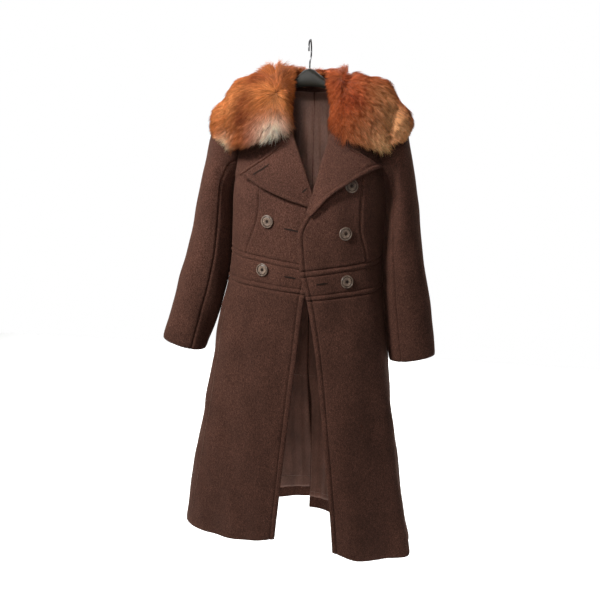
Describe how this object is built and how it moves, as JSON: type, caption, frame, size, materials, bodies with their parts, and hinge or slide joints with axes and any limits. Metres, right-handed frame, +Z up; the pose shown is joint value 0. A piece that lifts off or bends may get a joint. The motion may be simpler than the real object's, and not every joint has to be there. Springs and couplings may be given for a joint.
{
  "type": "coat on a hanger",
  "caption": "Long double-breasted wool coat with a waistband, a full open skirt, long sleeves and a broad fur collar, hung unbuttoned on a hanger.",
  "frame": {"origin": "the top of the inside of the hanger's hook wire, where it rests on a rail", "axes": "+Z up; +X to the viewer's right; -Y out of the coat's front, towards the viewer"},
  "size_m": [0.673, 0.2853, 1.2181],
  "materials": {
    "wool": "brushed, matte",
    "fur": "long soft hair, red fox",
    "satin": "soft sheen",
    "horn": "polished, mottled",
    "polypropylene": "satin",
    "steel_wire": "darkened"
  },
  "bodies": {
    "root": {"front_bodice_left": "wool", "front_bodice_right": "wool", "side_front_left": "wool", "side_front_right": "wool", "back_bodice_left": "wool", "back_bodice_right": "wool", "waistband_front_left": "wool", "waistband_front_right": "wool", "waistband_back_left": "wool", "waistband_back_right": "wool", "skirt_front_left": "wool", "skirt_front_right": "wool", "skirt_back_left": "wool", "skirt_back_right": "wool", "top_sleeve_left": "wool", "top_sleeve_right": "wool", "under_sleeve_left": "wool", "under_sleeve_right": "wool", "lapel_left": "wool", "lapel_right": "wool", "collar_stand": "wool", "fur_collar_left": "fur", "fur_collar_back": "fur", "fur_collar_right": "fur", "lining_back_left": "satin", "lining_back_right": "satin", "lining_skirt_back_left": "satin", "lining_skirt_back_right": "satin", "lining_skirt_front_left": "satin", "lining_skirt_front_right": "satin", "button_top_left": "horn", "button_top_right": "horn", "button_upper_left": "horn", "button_upper_right": "horn", "button_waist_left": "horn", "button_waist_right": "horn", "hanger_body": "polypropylene", "hanger_hook": "steel_wire"}
  },
  "joints": []
}
